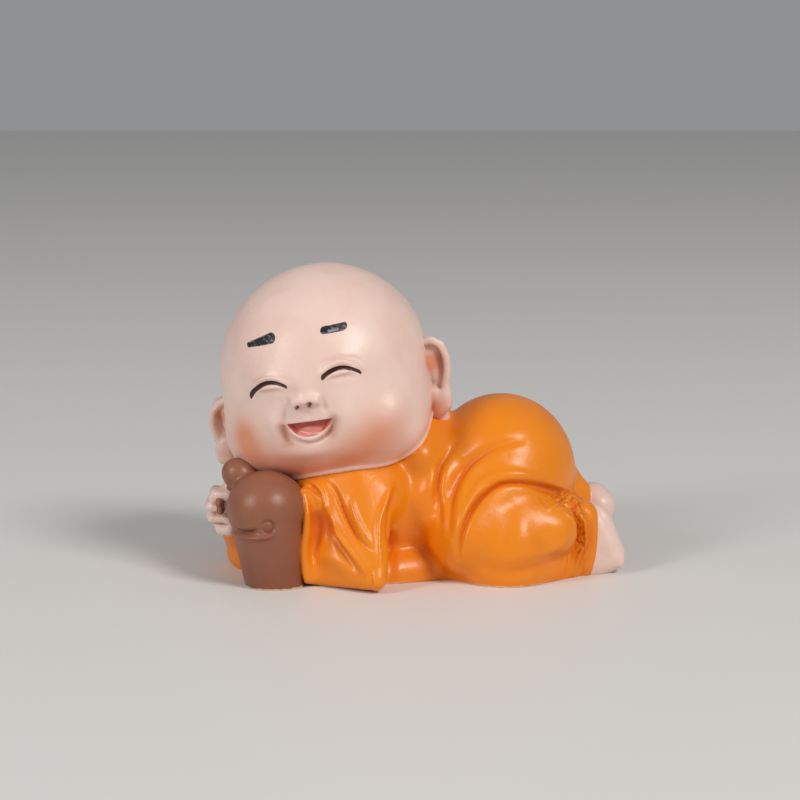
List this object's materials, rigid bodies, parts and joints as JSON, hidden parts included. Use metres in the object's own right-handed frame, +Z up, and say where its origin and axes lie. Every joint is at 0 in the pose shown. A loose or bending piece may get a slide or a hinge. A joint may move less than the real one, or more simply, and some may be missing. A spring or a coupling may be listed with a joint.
{
  "type": "baby monk statue",
  "caption": "Small cast figurine of a bald baby monk lying on his belly in a loose robe, smiling with closed eyes and hugging a round wooden fish drum; flat underside.",
  "frame": {"origin": "middle of the bounding box, on the flat underside", "axes": "+X from the head towards the feet, -Y the side that the face looks to, +Z up"},
  "size_m": [0.06, 0.0384, 0.0445],
  "materials": {
    "painted_resin": "hand-painted cast resin: glossy orange robe, satin pale skin with airbrushed blush, satin brown drum and mallet"
  },
  "bodies": {
    "root": {"baby_monk_statue": "painted_resin"}
  },
  "joints": []
}
